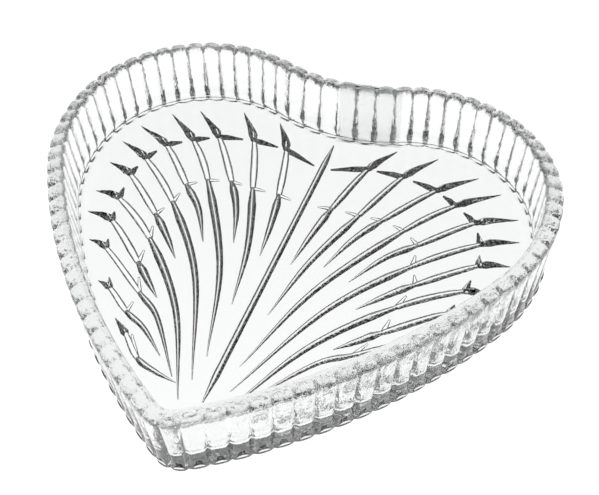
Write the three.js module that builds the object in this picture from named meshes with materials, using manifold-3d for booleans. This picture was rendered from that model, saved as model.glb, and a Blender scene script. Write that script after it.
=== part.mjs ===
// Heart-shaped glass dish: one pressed piece with a fluted wall, a scalloped rim,
// and a fan of mitre cuts in its underside.
// Millimetres, +Z up. The origin is the centre of the footprint, on the resting plane.
// +X runs across the two lobes, and +Y from the heart's point to its cleft.
import * as THREE from "three";
import Module from "manifold-3d";

const wasm = await Module();
wasm.setup();

const DEG = Math.PI / 180;

// Heart outline at the rim: five tangent arcs on each half. Each angle is the
// direction of the outward normal where one arc hands over to the next.
const POINT_RADIUS = 11.4;
const SIDE_RADIUS = 201.4;
const LOBE_SIDE_RADIUS = 59.5;
const LOBE_TOP_RADIUS = 46;
const CLEFT_RADIUS = 55.7;
const POINT_START = -90 * DEG;
const POINT_END = -57.9 * DEG;
const SIDE_END = -29 * DEG;
const LOBE_SIDE_END = 6.7 * DEG;
const CLEFT_MIDDLE = 90 * DEG;

// Wall and floor.
const HEIGHT = 26.7;
const FLOOR_THICKNESS = 5;
const RIM_THICKNESS = 5.7;
const FLOOR_INSET = 8.8; // from the rim's outline to the flat of the floor
const FOOT_INSET = 1.2; // from the rim's outline to the foot of the wall
const HEEL_RADIUS = 1.3;
const RIM_RADIUS = 2.4;

// Flutes: flat upright pillars with a V groove between each two.
const FLUTE_COUNT = 82;
const GROOVE_DEPTH = 0.95;
const GROOVE_HALF_WIDTH = 1.1;
const GROOVE_FULL = 4.5; // height where the grooves reach their full depth
const SCALLOP_DEPTH = 0.8; // dip in the rim at each groove

// Mitre cuts in the underside, as plan points on the +X half of the dish: where each cut
// starts, a point midway, where it crosses the inner and the outer tier, and its tip at the
// floor's edge. The -X half mirrors it.
const CUTS = [
  [[5.3, 4], [7, 17.5], [9.5, 31.5], [15, 53], [22, 65]],
  [[6, -17], [10.5, 6.5], [19, 31.5], [27.5, 53.5], [36.5, 66]],
  [[15.5, 6.5], [20.5, 20.5], [27, 32], [40, 51], [52, 61.5]],
  [[5.3, -37.5], [16, -3.5], [35, 30], [48, 46.5], [61, 56.5]],
  [[25, 3.5], [32.5, 16.5], [41, 25.5], [56, 41], [69, 47]],
  [[6, -46.5], [22, -9.5], [42, 16.5], [60, 32.5], [71.5, 37.5]],
  [[30.5, -6], [37, 1.5], [45, 9.5], [61.5, 23.5], [71, 26.5]],
  [[7, -54], [22, -24], [42, -1], [60, 12], [69, 12.5]],
  [[29, -22.5], [34.5, -17.5], [41, -11.5], [57.5, 2], [67, 3]],
  [[12, -47.5], [25.5, -29.5], [35, -22.5], [53.5, -9.5], [60.5, -8]],
  [[18.5, -42], [27.5, -34.5], [35.5, -30.5], [44.5, -24], [49.5, -22.5]],
  [[10, -49], [17.5, -47.5], [24.5, -45], [31.5, -38.5], [37.5, -34]],
];
const STEM_START = -52.5; // the straight cut on the centre line
const STEM_END = 60.5;
const CUT_WIDTH = 2;
const KNEE_WIDTH = 3;
const TIP_WIDTH = 0.5;
const CUT_STEEPNESS = 0.8; // depth of a cut over its width
const CUT_STEPS = 4; // between two plan points of a cut
const KNEE = 3; // which plan point a cut is widest at
const CUT_OVERSHOOT = 0.5; // how far a cutter reaches below the underside

const GLASS = new THREE.MeshStandardMaterial({ color: 0xf2f5f5, roughness: 0.04, metalness: 0 });

const direction = (angle) => new THREE.Vector2(Math.cos(angle), Math.sin(angle));

// The right half of the rim's outline, from the point to the cleft. side is -1 on the
// hollow arc, whose centre lies outside the heart.
function halfOutline() {
  const point = new THREE.Vector2(0, 0);
  const side = point.clone().addScaledVector(direction(POINT_END), POINT_RADIUS - SIDE_RADIUS);
  const lobeSide = side.clone().addScaledVector(direction(SIDE_END), SIDE_RADIUS - LOBE_SIDE_RADIUS);
  const lobeTop = lobeSide.clone();
  lobeTop.addScaledVector(direction(LOBE_SIDE_END), LOBE_SIDE_RADIUS - LOBE_TOP_RADIUS);
  const reach = LOBE_TOP_RADIUS + CLEFT_RADIUS;
  const lobeEnd = Math.acos(-lobeTop.x / reach);
  const cleft = lobeTop.clone().addScaledVector(direction(lobeEnd), reach);
  const arcs = [
    { centre: point, radius: POINT_RADIUS, from: POINT_START, to: POINT_END, side: 1 },
    { centre: side, radius: SIDE_RADIUS, from: POINT_END, to: SIDE_END, side: 1 },
    { centre: lobeSide, radius: LOBE_SIDE_RADIUS, from: SIDE_END, to: LOBE_SIDE_END, side: 1 },
    { centre: lobeTop, radius: LOBE_TOP_RADIUS, from: LOBE_SIDE_END, to: lobeEnd, side: 1 },
    { centre: cleft, radius: CLEFT_RADIUS, from: lobeEnd, to: CLEFT_MIDDLE, side: -1 },
  ];
  const lowest = point.y - POINT_RADIUS;
  const highest = lobeTop.y + LOBE_TOP_RADIUS;
  for (const arc of arcs) {
    arc.centre.y -= (lowest + highest) / 2;
    arc.length = arc.radius * Math.abs(arc.to - arc.from);
  }
  return arcs;
}

const ARCS = halfOutline();
const HALF_LENGTH = ARCS.reduce((sum, arc) => sum + arc.length, 0);
const FLUTE_PITCH = (2 * HALF_LENGTH) / FLUTE_COUNT;

// The rim's outline at a distance along it from the point, counter-clockwise from above.
function outlineAt(distance) {
  const mirrored = distance > HALF_LENGTH;
  let left = mirrored ? 2 * HALF_LENGTH - distance : distance;
  let arc = ARCS[0];
  for (arc of ARCS) {
    if (left <= arc.length) break;
    left -= arc.length;
  }
  const turn = Math.min(left / arc.length, 1);
  const normal = direction(arc.from + (arc.to - arc.from) * turn);
  const place = arc.centre.clone().addScaledVector(normal, arc.side * arc.radius);
  if (mirrored) {
    normal.x *= -1;
    place.x *= -1;
  }
  return { place, normal };
}

// Three stations to a flute: the bottom of the groove and its two lips.
function wallStations() {
  const stations = [];
  for (let flute = 0; flute < FLUTE_COUNT; flute += 1) {
    const middle = flute * FLUTE_PITCH;
    stations.push({ ...outlineAt(middle), groove: 1 });
    stations.push({ ...outlineAt(middle + GROOVE_HALF_WIDTH), groove: 0 });
    stations.push({ ...outlineAt(middle + FLUTE_PITCH - GROOVE_HALF_WIDTH), groove: 0 });
  }
  return stations;
}

// The wall's section, from the edge of the underside up and over the rim to the floor.
// inset is from the rim's outline; groove and scallop are how much each point takes of them.
const WALL_SECTION = [
  { inset: FOOT_INSET + HEEL_RADIUS, z: 0 },
  { inset: FOOT_INSET + 0.3 * HEEL_RADIUS, z: 0.3 * HEEL_RADIUS, groove: 0.3 },
  { inset: FOOT_INSET, z: HEEL_RADIUS, groove: 0.6 },
  { inset: FOOT_INSET, z: GROOVE_FULL, groove: 1 },
  { inset: 0, z: HEIGHT - RIM_RADIUS, groove: 1, scallop: 1 },
  { inset: 0.3 * RIM_RADIUS, z: HEIGHT - 0.3 * RIM_RADIUS, groove: 0.6, scallop: 1 },
  { inset: RIM_RADIUS, z: HEIGHT, groove: 0.3, scallop: 1 },
  { inset: RIM_THICKNESS - RIM_RADIUS, z: HEIGHT, scallop: 0.4 },
  { inset: RIM_THICKNESS - 0.3 * RIM_RADIUS, z: HEIGHT - 0.3 * RIM_RADIUS, scallop: 0.2 },
  { inset: RIM_THICKNESS, z: HEIGHT - RIM_RADIUS },
  { inset: RIM_THICKNESS + 0.9, z: FLOOR_THICKNESS + 2.4 },
  { inset: RIM_THICKNESS + 1.6, z: FLOOR_THICKNESS + 0.6 },
  { inset: FLOOR_INSET, z: FLOOR_THICKNESS },
];

function toManifold(positions, triangles) {
  const vertProperties = new Float32Array(positions.flat());
  const triVerts = new Uint32Array(triangles.flat());
  return new wasm.Manifold(new wasm.Mesh({ numProp: 3, vertProperties, triVerts }));
}

// A flat cap over one closed ring of the wall, facing up or down.
function capTriangles(positions, firstIndex, count, facesUp) {
  const ring = positions.slice(firstIndex, firstIndex + count);
  const contour = ring.map(([x, y]) => new THREE.Vector2(x, y));
  return THREE.ShapeUtils.triangulateShape(contour, []).map(([a, b, c]) => {
    const up = THREE.ShapeUtils.area([contour[a], contour[b], contour[c]]) > 0;
    const corners = up === facesUp ? [a, b, c] : [a, c, b];
    return corners.map((corner) => corner + firstIndex);
  });
}

function dishBlank() {
  const stations = wallStations();
  const count = stations.length;
  const positions = [];
  const triangles = [];
  for (const { inset, z, groove = 0, scallop = 0 } of WALL_SECTION) {
    for (const station of stations) {
      const depth = inset + groove * station.groove * GROOVE_DEPTH;
      const { x, y } = station.place.clone().addScaledVector(station.normal, -depth);
      positions.push([x, y, z - scallop * station.groove * SCALLOP_DEPTH]);
    }
  }
  for (let ring = 0; ring < WALL_SECTION.length - 1; ring += 1) {
    for (let column = 0; column < count; column += 1) {
      const a = ring * count + column;
      const b = ring * count + ((column + 1) % count);
      triangles.push([a, b, b + count], [a, b + count, a + count]);
    }
  }
  triangles.push(...capTriangles(positions, 0, count, false));
  triangles.push(...capTriangles(positions, (WALL_SECTION.length - 1) * count, count, true));
  return toManifold(positions, triangles);
}

// A V-shaped cutter along a plan curve, with its ridge up inside the glass.
function mitreCutter(places, widths) {
  const positions = [];
  const triangles = [];
  places.forEach((place, step) => {
    const before = places[Math.max(step - 1, 0)];
    const after = places[Math.min(step + 1, places.length - 1)];
    const along = after.clone().sub(before).normalize();
    const depth = widths[step] * CUT_STEEPNESS;
    const half = (widths[step] / 2) * (1 + CUT_OVERSHOOT / depth);
    positions.push([place.x + along.y * half, place.y - along.x * half, -CUT_OVERSHOOT]);
    positions.push([place.x - along.y * half, place.y + along.x * half, -CUT_OVERSHOOT]);
    positions.push([place.x, place.y, depth]);
  });
  for (let step = 0; step < places.length - 1; step += 1) {
    for (let corner = 0; corner < 3; corner += 1) {
      const a = step * 3 + corner;
      const b = step * 3 + ((corner + 1) % 3);
      triangles.push([a, b, b + 3], [a, b + 3, a + 3]);
    }
  }
  const last = positions.length - 3;
  triangles.push([0, 2, 1], [last, last + 1, last + 2]);
  return toManifold(positions, triangles);
}

// One curved cut: slim from its start, widest at the knee, and slim again at its tip.
function fanCutter(points, mirror) {
  const spots = points.map(([x, y]) => new THREE.Vector3(mirror * x, y, 0));
  const curve = new THREE.CatmullRomCurve3(spots);
  const steps = (points.length - 1) * CUT_STEPS;
  const places = [];
  const widths = [];
  for (let step = 0; step <= steps; step += 1) {
    const place = curve.getPoint(step / steps);
    places.push(new THREE.Vector2(place.x, place.y));
    const span = step / CUT_STEPS;
    const rising = Math.min(KNEE_WIDTH, TIP_WIDTH + (CUT_WIDTH - TIP_WIDTH) * span);
    const falling = KNEE_WIDTH + (TIP_WIDTH - KNEE_WIDTH) * (span - KNEE);
    widths.push(span < KNEE ? rising : falling);
  }
  return mitreCutter(places, widths);
}

function stemCutter() {
  const places = [STEM_START, STEM_END].map((y) => new THREE.Vector2(0, y));
  return mitreCutter(places, [CUT_WIDTH, CUT_WIDTH]);
}

function fanCutters() {
  let cutters = stemCutter();
  for (const cut of CUTS) {
    cutters = cutters.add(fanCutter(cut, 1)).add(fanCutter(cut, -1));
  }
  return cutters;
}

function toMesh(name, solid, material) {
  const { vertProperties, triVerts } = solid.getMesh();
  const geometry = new THREE.BufferGeometry();
  geometry.setAttribute("position", new THREE.BufferAttribute(vertProperties, 3));
  geometry.setIndex(new THREE.BufferAttribute(triVerts, 1));
  geometry.computeVertexNormals();
  const mesh = new THREE.Mesh(geometry, material);
  mesh.name = name;
  return mesh;
}

const object = new THREE.Group();
object.name = "heart_dish";
object.add(toMesh("dish", dishBlank().subtract(fanCutters()), GLASS));

export default object;
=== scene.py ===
"""Heart-shaped pressed crystal dish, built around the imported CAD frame.

Shapes are worked out in millimetres and turned into metres where a mesh is made. The frame
is the CAD's: the origin is the centre of the footprint, and +Y runs from the heart's point
to its cleft.
"""

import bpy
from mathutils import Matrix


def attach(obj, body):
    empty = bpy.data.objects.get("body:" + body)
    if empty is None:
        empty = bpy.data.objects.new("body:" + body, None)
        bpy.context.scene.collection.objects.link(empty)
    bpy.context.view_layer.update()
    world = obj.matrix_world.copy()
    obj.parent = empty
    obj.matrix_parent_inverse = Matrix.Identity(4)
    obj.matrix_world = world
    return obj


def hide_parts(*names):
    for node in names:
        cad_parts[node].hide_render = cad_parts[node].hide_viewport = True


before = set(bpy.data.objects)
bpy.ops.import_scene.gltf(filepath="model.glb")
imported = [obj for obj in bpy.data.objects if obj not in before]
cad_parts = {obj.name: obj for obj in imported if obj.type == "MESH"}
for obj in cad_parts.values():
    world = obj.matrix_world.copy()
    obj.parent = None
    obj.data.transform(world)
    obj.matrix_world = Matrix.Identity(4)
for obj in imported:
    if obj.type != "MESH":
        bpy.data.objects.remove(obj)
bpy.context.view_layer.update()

import math

import bmesh
import bpy
from mathutils import Quaternion, Vector
from mathutils.bvhtree import BVHTree

MM = 0.001

# Heart outline at the rim: tangent arcs on each half. Each angle is the direction of the
# outward normal where one arc hands over to the next.
POINT_RADIUS = 11.4
SIDE_RADIUS = 201.4
LOBE_SIDE_RADIUS = 59.5
LOBE_TOP_RADIUS = 46.0
CLEFT_RADIUS = 55.7
POINT_START = math.radians(-90)
POINT_END = math.radians(-57.9)
SIDE_END = math.radians(-29)
LOBE_SIDE_END = math.radians(6.7)
CLEFT_MIDDLE = math.radians(90)

# Wall and floor. An inset is a distance in from the rim's outline.
HEIGHT = 26.7
FLOOR = 5.0
RIM_WIDTH = 5.7
RIM_RADIUS = 2.4
INNER_DRAFT = 0.9
FLOOR_INSET = 8.8
FOOT_INSET = 1.2
HEEL = 1.3
NOTCH_INSET = 5.2  # where the grooves end under the heel
NOTCH_LIFT = 0.7

# Flutes: pillars with a V groove between each two, and a thumb cut at each pillar's foot.
FLUTES = 82
STEPS_PER_FLUTE = 13
GROOVE_DEPTH = 0.95
GROOVE_HALF_WIDTH = 1.1
GROOVE_FULL = 4.5  # height where the grooves reach their full depth
PILLAR_CROWN = 0.25
SCALLOP = 0.8
SCOOP_SILL = 1.6
SCOOP_HEIGHT = 4.0
SCOOP_HALF_WIDTH = 2.3
SCOOP_DEPTH = 0.7

# Fan of cuts on the +X half: start, middle, inner ring, outer ring and tip of each cut.
CUTS = [
    ((5.3, 4.0), (7.0, 17.5), (9.5, 31.5), (15.0, 53.0), (22.0, 65.0)),
    ((6.0, -17.0), (10.5, 6.5), (19.0, 31.5), (27.5, 53.5), (36.5, 66.0)),
    ((15.5, 6.5), (20.5, 20.5), (27.0, 32.0), (40.0, 51.0), (52.0, 61.5)),
    ((5.3, -37.5), (16.0, -3.5), (35.0, 30.0), (48.0, 46.5), (61.0, 56.5)),
    ((25.0, 3.5), (32.5, 16.5), (41.0, 25.5), (56.0, 41.0), (69.0, 47.0)),
    ((6.0, -46.5), (22.0, -9.5), (42.0, 16.5), (60.0, 32.5), (71.5, 37.5)),
    ((30.5, -6.0), (37.0, 1.5), (45.0, 9.5), (61.5, 23.5), (71.0, 26.5)),
    ((7.0, -54.0), (22.0, -24.0), (42.0, -1.0), (60.0, 12.0), (69.0, 12.5)),
    ((29.0, -22.5), (34.5, -17.5), (41.0, -11.5), (57.5, 2.0), (67.0, 3.0)),
    ((12.0, -47.5), (25.5, -29.5), (35.0, -22.5), (53.5, -9.5), (60.5, -8.0)),
    ((18.5, -42.0), (27.5, -34.5), (35.5, -30.5), (44.5, -24.0), (49.5, -22.5)),
    ((10.0, -49.0), (17.5, -47.5), (24.5, -45.0), (31.5, -38.5), (37.5, -34.0)),
]
SMALL_CUTS = 3  # how many at the end of the list are cut smaller
SMALL = 0.8
INNER_RING = 0.5  # shares of a cut's curve where it crosses the rings
OUTER_RING = 0.75
CUT_STEPS = 20  # in each of a cut's three tiers
OVERSHOOT = 0.5  # how far a cutter reaches below the underside

# The straight cut on the centre line, and where the rings meet it.
STEM_START = -52.5
STEM_END = 60.5
STEM_INNER_RING = Vector((0.0, 29.7))
STEM_OUTER_RING = Vector((0.0, 47.5))
STEM_WIDTH = 2.3
STEM_STEPS = 12

# Short cross cuts along the rings.
HOOK_STEPS = 12
INNER_HOOK_WIDTH = 1.6
INNER_HOOK_REACH = 0.5  # as a share of the way to the cut before it
OUTER_HOOK_WIDTH = 2.2
OUTER_HOOK_REACH = 0.8
OUTER_HOOK_SHRINK = 0.055  # each hook reaches this much less than the one before it

# Sections of a cut: its depth over its half width, and how flat its crest is.
ROUND = (1.6, 2.2)
FLAT = (0.8, 4.0)
FULL = (1.4, 2.4)
SHARP = (2.2, 1.1)
STEEP = (3.0, 1.05)
ACROSS = (-1.0, -0.93, -0.82, -0.65, -0.4, -0.1, 0.1, 0.4, 0.65, 0.82, 0.93, 1.0)
QUILT = 5  # the underside is split into squares of this size
SHARP_EDGE = math.radians(28)

# Glass.
GLASS_TINT = (0.965, 0.97, 0.97, 1)
GLASS_ROUGHNESS = 0.03
GLASS_IOR = 1.54
DEPTH_TINT = (0.6, 0.62, 0.62, 1)
DEPTH_DENSITY = 10.0
# Painted shade on the cuts: near-black colour and low transmission on steep cut faces, standing in
# for the dark reflections in the clear facets, with lighter flecks.
PAINTED_SHADE_COLOR = (0.03, 0.03, 0.032, 1)
PAINTED_SHADE_TRANSMISSION = 0.08
PAINTED_SHADE_FLECK_SCALE = 1500.0  # features to the metre
RIPPLE_SCALE = 850.0
RIPPLE_STRETCH = 0.3
RIPPLE_HEIGHT = 0.2
FLOOR_RIPPLE = 0.12  # as a share of the wall's

# Studio.
TABLE_HALF_WIDTH = 3000
TABLE_DROP = 0.05
TABLE_WHITE = (0.9, 0.9, 0.9, 1)
BACKDROP = (0.66, 0.66, 0.66, 1)

# Camera, in metres and degrees.
AZIMUTH = 22.022
ELEVATION = 48.738
ROLL = -1.797
DISTANCE = 0.331145
TARGET = Vector((0.004666, 0.01365, 0.0))
SENSOR = 36
LENS = 61.18


def direction(angle):
    return Vector((math.cos(angle), math.sin(angle)))


def smooth(low, high, value):
    share = min(max((value - low) / (high - low), 0.0), 1.0)
    return share * share * (3 - 2 * share)


def half_outline():
    """The right half of the rim's outline as arcs (centre, radius, from, to, side)."""
    point = Vector((0.0, 0.0))
    side = point + direction(POINT_END) * (POINT_RADIUS - SIDE_RADIUS)
    lobe = side + direction(SIDE_END) * (SIDE_RADIUS - LOBE_SIDE_RADIUS)
    top = lobe + direction(LOBE_SIDE_END) * (LOBE_SIDE_RADIUS - LOBE_TOP_RADIUS)
    reach = LOBE_TOP_RADIUS + CLEFT_RADIUS
    lobe_end = math.acos(-top.x / reach)
    cleft = top + direction(lobe_end) * reach
    shift = Vector((0.0, (POINT_RADIUS - top.y - LOBE_TOP_RADIUS) / 2))
    return [
        (point + shift, POINT_RADIUS, POINT_START, POINT_END, 1),
        (side + shift, SIDE_RADIUS, POINT_END, SIDE_END, 1),
        (lobe + shift, LOBE_SIDE_RADIUS, SIDE_END, LOBE_SIDE_END, 1),
        (top + shift, LOBE_TOP_RADIUS, LOBE_SIDE_END, lobe_end, 1),
        (cleft + shift, CLEFT_RADIUS, lobe_end, CLEFT_MIDDLE, -1),
    ]


ARCS = half_outline()
ARC_LENGTHS = [radius * abs(end - start) for _, radius, start, end, _ in ARCS]
HALF_LENGTH = sum(ARC_LENGTHS)
PITCH = 2 * HALF_LENGTH / FLUTES


def outline_at(distance):
    """Place and outward normal on the rim's outline, at a distance along it from the point."""
    mirrored = distance > HALF_LENGTH
    left = 2 * HALF_LENGTH - distance if mirrored else distance
    for arc, length in zip(ARCS, ARC_LENGTHS):
        if left <= length:
            break
        left -= length
    centre, radius, start, end, side = arc
    normal = direction(start + (end - start) * min(left / length, 1.0))
    place = centre + normal * (side * radius)
    if mirrored:
        normal.x *= -1
        place.x *= -1
    return place, normal


def groove_shape(across, z):
    """How deep the flute's surface lies at a distance across from the groove's middle."""
    half = PITCH / 2
    fade = 1 - 0.45 * smooth(6, HEIGHT - 4, z)
    width = GROOVE_HALF_WIDTH * fade
    crown = PILLAR_CROWN * min(1.0, (half - across) / (half - width)) ** 2
    return crown + GROOVE_DEPTH * fade * max(0.0, 1 - across / width)


def scoop_shape(across, z):
    """How deep the thumb cut at a pillar's foot is: an arch above a flat sill."""
    if z < SCOOP_SILL:
        return 0.0
    sideways = (PITCH / 2 - across) / SCOOP_HALF_WIDTH
    upward = (z - SCOOP_SILL) / SCOOP_HEIGHT
    return SCOOP_DEPTH * max(0.0, 1 - sideways ** 2 - upward ** 2)


def foot_rows():
    """Rows of the section from the underside, round the heel, to above the thumb cuts."""
    rows = [(NOTCH_INSET, 0, 0, 0, 0)]
    for step in range(1, 5):
        share = step / 5
        inset = NOTCH_INSET + (FOOT_INSET + HEEL - NOTCH_INSET) * share
        rows.append((inset, 0, 0, 0, share * NOTCH_LIFT))
    for step in range(7):
        share = step / 6
        turn = math.pi / 2 * share
        inset = FOOT_INSET + HEEL * (1 - math.sin(turn))
        z = HEEL * (1 - math.cos(turn))
        rows.append((inset, z, 0.6 * share, 0, (1 - share) * NOTCH_LIFT))
    for step in range(1, 17):
        z = HEEL + 0.35 * step
        rows.append((FOOT_INSET, z, 0.6 + 0.4 * smooth(HEEL, GROOVE_FULL, z), 0, 0))
    return rows


def rim_rows(low):
    """Rows of the section from a height on the outer wall, over the rim."""
    rows = []
    for step in range(1, 9):
        share = step / 8
        z = low + (HEIGHT - RIM_RADIUS - low) * share
        rows.append((FOOT_INSET * (1 - share), z, 1, smooth(0.8, 1, share), 0))
    for step in range(1, 7):
        share = step / 6
        turn = math.pi / 2 * share
        z = HEIGHT - RIM_RADIUS * (1 - math.sin(turn))
        rows.append((RIM_RADIUS * (1 - math.cos(turn)), z, 1 - 0.7 * share, 1, 0))
    for step in range(1, 5):
        share = step / 4
        inset = RIM_RADIUS + (RIM_WIDTH - 2 * RIM_RADIUS) * share
        rows.append((inset, HEIGHT, 0.3 * (1 - share), 1 - 0.6 * share, 0))
    for step in range(1, 7):
        share = step / 6
        turn = math.pi / 2 * share
        inset = RIM_WIDTH - RIM_RADIUS * (1 - math.sin(turn))
        z = HEIGHT - RIM_RADIUS * (1 - math.cos(turn))
        rows.append((inset, z, 0, 0.4 * (1 - share), 0))
    return rows


def inner_rows():
    """Rows of the section down the inner wall and round the fillet to the floor."""
    rows = []
    fillet = FLOOR_INSET - RIM_WIDTH - INNER_DRAFT
    top = HEIGHT - RIM_RADIUS
    for step in range(1, 7):
        share = step / 6
        rows.append((RIM_WIDTH + INNER_DRAFT * share, top + (FLOOR + fillet - top) * share, 0, 0, 0))
    for step in range(1, 9):
        turn = math.pi / 2 * step / 8
        inset = FLOOR_INSET - fillet * math.cos(turn)
        rows.append((inset, FLOOR + fillet * (1 - math.sin(turn)), 0, 0, 0))
    return rows


def section():
    """The wall's section as rows (inset, z, groove share, scallop share, groove lift)."""
    foot = foot_rows()
    return foot + rim_rows(foot[-1][1]) + inner_rows()


def new_object(name, points, faces):
    mesh = bpy.data.meshes.new(name)
    mesh.from_pydata([tuple(c * MM for c in p) for p in points], [], faces)
    mesh.validate()
    obj = bpy.data.objects.new(name, mesh)
    bpy.context.collection.objects.link(obj)
    return obj


def dish_blank():
    """The dish without its fan of cuts."""
    count = FLUTES * STEPS_PER_FLUTE
    step = PITCH / STEPS_PER_FLUTE
    stations = []
    for i in range(count):
        along = (i % STEPS_PER_FLUTE) * step
        stations.append((*outline_at(i * step), min(along, PITCH - along)))
    rows = section()
    points = []
    for inset, z, groove, scallop, lift in rows:
        for place, normal, across in stations:
            scoop = scoop_shape(across, z) if inset == FOOT_INSET else 0.0
            spot = place - normal * (inset + groove * groove_shape(across, z) + scoop)
            share = groove_shape(across, 0) / GROOVE_DEPTH
            points.append((spot.x, spot.y, z + (lift - scallop * SCALLOP) * share))
    faces = []
    for row in range(len(rows) - 1):
        for i in range(count):
            a = row * count + i
            b = row * count + (i + 1) % count
            faces.append((a, b, b + count, a + count))
    last = (len(rows) - 1) * count
    faces.append(tuple(reversed(range(count))))
    faces.append(tuple(range(last, last + count)))
    dish = new_object("dish_glass", points, faces)
    quilt_underside(dish.data)
    return dish


def quilt_underside(mesh):
    """Split the one big face of the underside into squares, so the cuts leave clean faces."""
    work = bmesh.new()
    work.from_mesh(mesh)
    reach = int(90 / QUILT) * QUILT
    for axis in (Vector((1, 0, 0)), Vector((0, 1, 0))):
        for place in range(-reach, reach + 1, QUILT):
            faces = [f for f in work.faces if f.normal.z < -0.999 and f.calc_center_median().z < 1e-6]
            edges = list({edge for face in faces for edge in face.edges})
            verts = list({vert for face in faces for vert in face.verts})
            bmesh.ops.bisect_plane(work, geom=faces + edges + verts, dist=1e-7,
                                   plane_co=axis * (place * MM), plane_no=axis)
    work.to_mesh(mesh)
    work.free()


def curve_through(points, share):
    """The place at a share of the way along a smooth curve through plan points."""
    spots = [Vector(point) for point in points]
    spots = [spots[0] * 2 - spots[1]] + spots + [spots[-1] * 2 - spots[-2]]
    spans = len(spots) - 3
    place = min(share * spans, spans - 1e-9)
    first = int(place)
    t = place - first
    a, b, c, d = spots[first:first + 4]
    return 0.5 * (2 * b + (c - a) * t + (2 * a - 5 * b + 4 * c - d) * t * t
                  + (3 * b - a - 3 * c + d) * t ** 3)


def width_at(marks, share):
    """The width at a share of the way along a cut, between (share, width) marks."""
    for (low, before), (high, after) in zip(marks, marks[1:]):
        if share <= high:
            break
    return before + (after - before) * (share - low) / (high - low)


def cutter(name, places, marks, profile):
    """A long cutter along plan places, with its ridge up inside the glass."""
    steepness, crest = profile
    last = len(places) - 1
    points = []
    for i, place in enumerate(places):
        along = (places[min(i + 1, last)] - places[max(i - 1, 0)]).normalized()
        half = width_at(marks, i / last) / 2
        ridge = [(share, half * steepness * (1 - abs(share) ** crest)) for share in ACROSS]
        for share, z in [(ACROSS[0], -OVERSHOOT)] + ridge + [(ACROSS[-1], -OVERSHOOT)]:
            x = place.x - along.y * half * share
            y = place.y + along.x * half * share
            points.append((x, y, z))
    size = len(ACROSS) + 2
    faces = []
    for i in range(last):
        for corner in range(size):
            a = i * size + corner
            b = i * size + (corner + 1) % size
            faces.append((b, a, a + size, b + size))
    faces.append(tuple(range(size)))
    faces.append(tuple(reversed(range(last * size, last * size + size))))
    return new_object(name, points, faces)


def tier(name, spots, low, high, marks, profile):
    """One cutter along part of a cut's curve."""
    places = [curve_through(spots, low + (high - low) * i / CUT_STEPS) for i in range(CUT_STEPS + 1)]
    return cutter(name, places, marks, profile)


def hook(name, spots, ring, before, reach, width, profile):
    """A short cutter along a ring, from beside the cut before this one into this one."""
    knee = curve_through(spots, ring)
    inside = curve_through(spots, ring + 0.03)
    end = knee.lerp(before, reach)
    bend = [end, end.lerp(knee, 0.55), knee, inside]
    places = [curve_through(bend, i / HOOK_STEPS) for i in range(HOOK_STEPS + 1)]
    return cutter(name, places, ((0, 0.7), (0.4, width), (1, width * 0.9)), profile)


def stem_cutter():
    length = STEM_END - STEM_START
    places = [Vector((0, STEM_START + length * i / STEM_STEPS)) for i in range(STEM_STEPS + 1)]
    near, far = 1 / STEM_STEPS, 1 - 1 / STEM_STEPS
    marks = ((0, 0.5), (near, STEM_WIDTH), (far, STEM_WIDTH), (1, 0.5))
    return cutter("stem", places, marks, ROUND)


def cut_cutters(name, spots, size, middle_profile):
    """The three tiers of one cut: slim root, middle between the rings, and pointed tip."""
    root = ((0, 0.3), (0.4, 2.0 * size), (0.85, 2.9 * size), (1, 1.6))
    middle = ((0, 2.0 * size), (0.3, 2.7 * size), (0.75, 2.4 * size), (1, 1.6))
    tip = ((0, 1.8), (0.15, 3.3 * size), (1, 0.3))
    return [
        tier(name + "_root", spots, 0.0, INNER_RING, root, ROUND),
        tier(name + "_middle", spots, INNER_RING, OUTER_RING, middle, middle_profile),
        tier(name + "_tip", spots, OUTER_RING, 1.0, tip, SHARP),
    ]


def fan_cutters():
    made = [stem_cutter()]
    for half, mirror, middle_profile in (("right", 1, FULL), ("left", -1, FLAT)):
        inner, outer = STEM_INNER_RING, STEM_OUTER_RING
        for number, cut in enumerate(CUTS):
            spots = [Vector((mirror * x, y)) for x, y in cut]
            size = SMALL if number >= len(CUTS) - SMALL_CUTS else 1.0
            name = f"cut_{number}_{half}"
            made += cut_cutters(name, spots, size, middle_profile)
            made.append(hook(name + "_inner_hook", spots, INNER_RING, inner,
                             INNER_HOOK_REACH, INNER_HOOK_WIDTH * size, FLAT))
            made.append(hook(name + "_outer_hook", spots, OUTER_RING, outer,
                             OUTER_HOOK_REACH - OUTER_HOOK_SHRINK * number,
                             OUTER_HOOK_WIDTH * size, STEEP))
            inner, outer = spots[2], spots[3]
    return made


def combine(body, tools, operation):
    """Work the tools into the body, and take the tools away."""
    for tool in tools:
        step = body.modifiers.new(operation.lower(), "BOOLEAN")
        step.operation = operation
        step.solver = "MANIFOLD"
        step.object = tool
    graph = bpy.context.evaluated_depsgraph_get()
    mesh = bpy.data.meshes.new_from_object(body.evaluated_get(graph))
    body.modifiers.clear()
    body.data = mesh
    for tool in tools:
        bpy.data.objects.remove(tool)


def mark_facets(mesh, facets):
    """Note on each face of the fan how steep it is, as the mask for the painted shade on the cuts."""
    steepness = mesh.attributes.new("cut_steepness", "FLOAT", "FACE")
    for face in mesh.polygons:
        near = facets.find_nearest(face.center, 1e-6)[0]
        steepness.data[face.index].value = 0.0 if near is None else 1 - abs(face.normal.z)


def map_range(nodes, from_low, from_high, to_low, to_high):
    node = nodes.new("ShaderNodeMapRange")
    node.inputs["From Min"].default_value = from_low
    node.inputs["From Max"].default_value = from_high
    node.inputs["To Min"].default_value = to_low
    node.inputs["To Max"].default_value = to_high
    return node


def multiply(nodes, links, first, second):
    node = nodes.new("ShaderNodeMath")
    node.operation = "MULTIPLY"
    links.new(first, node.inputs[0])
    links.new(second, node.inputs[1])
    return node.outputs["Value"]


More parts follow.
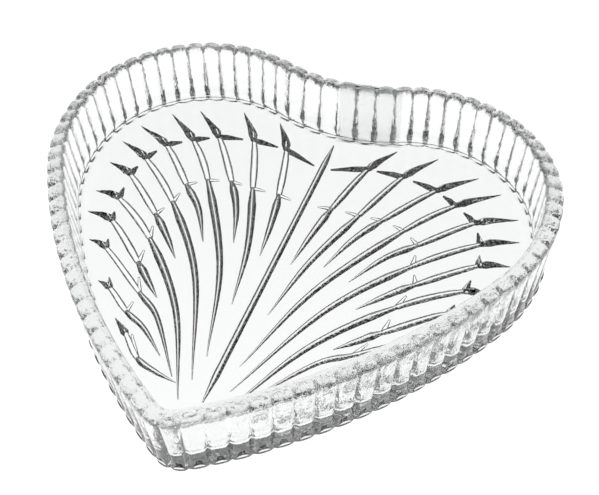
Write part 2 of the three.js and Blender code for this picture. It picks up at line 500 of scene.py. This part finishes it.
def paint_facet_shade(nodes, links, bsdf, place):
    """Paint shade on the steep faces of the cuts: near-black colour and less transmission stand in
    for the dark reflections in the clear facets, broken up by lighter flecks.
    """
    steepness = nodes.new("ShaderNodeAttribute")
    steepness.attribute_name = "cut_steepness"
    steep = map_range(nodes, 0.05, 0.45, 0, 1)
    links.new(steepness.outputs["Fac"], steep.inputs["Value"])
    # Lighter flecks that break up the painted shade on the cut faces.
    shade_fleck = nodes.new("ShaderNodeTexNoise")
    shade_fleck.inputs["Scale"].default_value = PAINTED_SHADE_FLECK_SCALE
    shade_fleck.inputs["Detail"].default_value = 1.0
    links.new(place, shade_fleck.inputs["Vector"])
    patchy = map_range(nodes, 0.38, 0.5, 0.45, 1)
    links.new(shade_fleck.outputs["Fac"], patchy.inputs["Value"])
    dark = multiply(nodes, links, steep.outputs["Result"], patchy.outputs["Result"])
    # Painted shade: the glass colour is mixed towards near black on the steep cut faces.
    painted_shade_mix = nodes.new("ShaderNodeMix")
    painted_shade_mix.data_type = "RGBA"
    painted_shade_mix.inputs["A"].default_value = GLASS_TINT
    painted_shade_mix.inputs["B"].default_value = PAINTED_SHADE_COLOR
    links.new(dark, painted_shade_mix.inputs["Factor"])
    links.new(painted_shade_mix.outputs["Result"], bsdf.inputs["Base Color"])
    # Painted shade: transmission drops on the same faces, so the painted near black shows.
    shade_transmission = map_range(nodes, 0, 1, 1, PAINTED_SHADE_TRANSMISSION)
    links.new(dark, shade_transmission.inputs["Value"])
    links.new(shade_transmission.outputs["Result"], bsdf.inputs["Transmission Weight"])


def shade_ripples(nodes, links, bsdf, place):
    """The soft upright ripples of pressed glass, gentler on the floor than on the wall."""
    stretch = nodes.new("ShaderNodeMapping")
    stretch.inputs["Scale"].default_value = (1, 1, RIPPLE_STRETCH)
    links.new(place, stretch.inputs["Vector"])
    ripple = nodes.new("ShaderNodeTexNoise")
    ripple.inputs["Scale"].default_value = RIPPLE_SCALE
    ripple.inputs["Detail"].default_value = 2.0
    links.new(stretch.outputs["Vector"], ripple.inputs["Vector"])
    height = nodes.new("ShaderNodeSeparateXYZ")
    links.new(place, height.inputs["Vector"])
    wall = map_range(nodes, (FLOOR + 0.5) * MM, (FLOOR + 3) * MM, FLOOR_RIPPLE, 1)
    links.new(height.outputs["Z"], wall.inputs["Value"])
    swell = multiply(nodes, links, ripple.outputs["Fac"], wall.outputs["Result"])
    bump = nodes.new("ShaderNodeBump")
    bump.inputs["Strength"].default_value = 1.0
    bump.inputs["Distance"].default_value = RIPPLE_HEIGHT * MM
    links.new(swell, bump.inputs["Height"])
    links.new(bump.outputs["Normal"], bsdf.inputs["Normal"])


def crystal():
    mat = bpy.data.materials.new("crystal")
    mat.use_nodes = True
    nodes, links = mat.node_tree.nodes, mat.node_tree.links
    bsdf = nodes["Principled BSDF"]
    bsdf.inputs["Roughness"].default_value = GLASS_ROUGHNESS
    bsdf.inputs["IOR"].default_value = GLASS_IOR
    volume = nodes.new("ShaderNodeVolumeAbsorption")
    volume.inputs["Color"].default_value = DEPTH_TINT
    volume.inputs["Density"].default_value = DEPTH_DENSITY
    links.new(volume.outputs["Volume"], nodes["Material Output"].inputs["Volume"])
    place = nodes.new("ShaderNodeTexCoord").outputs["Object"]
    # Painted shade on the steep cut faces.
    paint_facet_shade(nodes, links, bsdf, place)
    shade_ripples(nodes, links, bsdf, place)
    return mat


def build_dish():
    dish = dish_blank()
    fan, *others = fan_cutters()
    combine(fan, others, "UNION")
    facets = BVHTree.FromObject(fan, bpy.context.evaluated_depsgraph_get())
    combine(dish, [fan], "DIFFERENCE")
    mark_facets(dish.data, facets)
    mesh = dish.data
    mesh.polygons.foreach_set("use_smooth", [True] * len(mesh.polygons))
    mesh.set_sharp_from_angle(angle=SHARP_EDGE)
    mesh.materials.clear()
    mesh.materials.append(crystal())
    dish.visible_shadow = False
    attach(dish, "root")
    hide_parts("dish")


def build_table():
    half = TABLE_HALF_WIDTH
    corners = [(-half, -half), (half, -half), (half, half), (-half, half)]
    table = new_object("table", [(x, y, -TABLE_DROP) for x, y in corners], [(0, 1, 2, 3)])
    mat = bpy.data.materials.new("table")
    mat.use_nodes = True
    bsdf = mat.node_tree.nodes["Principled BSDF"]
    bsdf.inputs["Base Color"].default_value = TABLE_WHITE
    bsdf.inputs["Roughness"].default_value = 0.9
    bsdf.inputs["Specular IOR Level"].default_value = 0.0
    table.data.materials.append(mat)


def build_world():
    """Pale where it is seen directly, and black to the glass, for dark edges."""
    world = bpy.data.worlds.new("studio")
    bpy.context.scene.world = world
    world.use_nodes = True
    nodes, links = world.node_tree.nodes, world.node_tree.links
    path = nodes.new("ShaderNodeLightPath")
    mix = nodes.new("ShaderNodeMix")
    mix.data_type = "RGBA"
    mix.inputs["A"].default_value = (0, 0, 0, 1)
    mix.inputs["B"].default_value = BACKDROP
    links.new(path.outputs["Is Camera Ray"], mix.inputs["Factor"])
    links.new(mix.outputs["Result"], nodes["Background"].inputs["Color"])


def add_light(light, place):
    """A light aimed at the origin, which lights the table but isn't seen in the glass."""
    obj = bpy.data.objects.new(light.name, light)
    obj.location = place
    obj.rotation_euler = (-Vector(place)).to_track_quat("-Z", "Y").to_euler()
    obj.visible_transmission = False
    obj.visible_glossy = False
    bpy.context.collection.objects.link(obj)


def build_lights():
    even = bpy.data.lights.new("even", "SUN")
    even.energy = 2.2
    even.angle = 0.5
    add_light(even, (0, 0, 1))
    overhead = bpy.data.lights.new("overhead", "AREA")
    overhead.size = 1.0
    overhead.energy = 13
    add_light(overhead, (0.15, -0.6, 1.1))


def build_camera():
    azimuth, elevation = math.radians(AZIMUTH), math.radians(ELEVATION)
    flat = Vector((math.sin(azimuth), -math.cos(azimuth), 0)) * math.cos(elevation)
    back = flat + Vector((0, 0, math.sin(elevation)))
    data = bpy.data.cameras.new("camera")
    data.sensor_width = SENSOR
    data.lens = LENS
    obj = bpy.data.objects.new("camera", data)
    obj.location = TARGET + back * DISTANCE
    level = (-back).to_track_quat("-Z", "Y")
    obj.rotation_euler = (Quaternion(back, math.radians(ROLL)) @ level).to_euler()
    bpy.context.collection.objects.link(obj)
    bpy.context.scene.camera = obj


build_dish()
build_table()
build_world()
build_lights()
build_camera()
scene = bpy.context.scene
scene.view_settings.view_transform = "Standard"
scene.cycles.caustics_refractive = False
scene.cycles.caustics_reflective = False
scene.cycles.max_bounces = 24
scene.cycles.transmission_bounces = 24
scene.cycles.glossy_bounces = 12
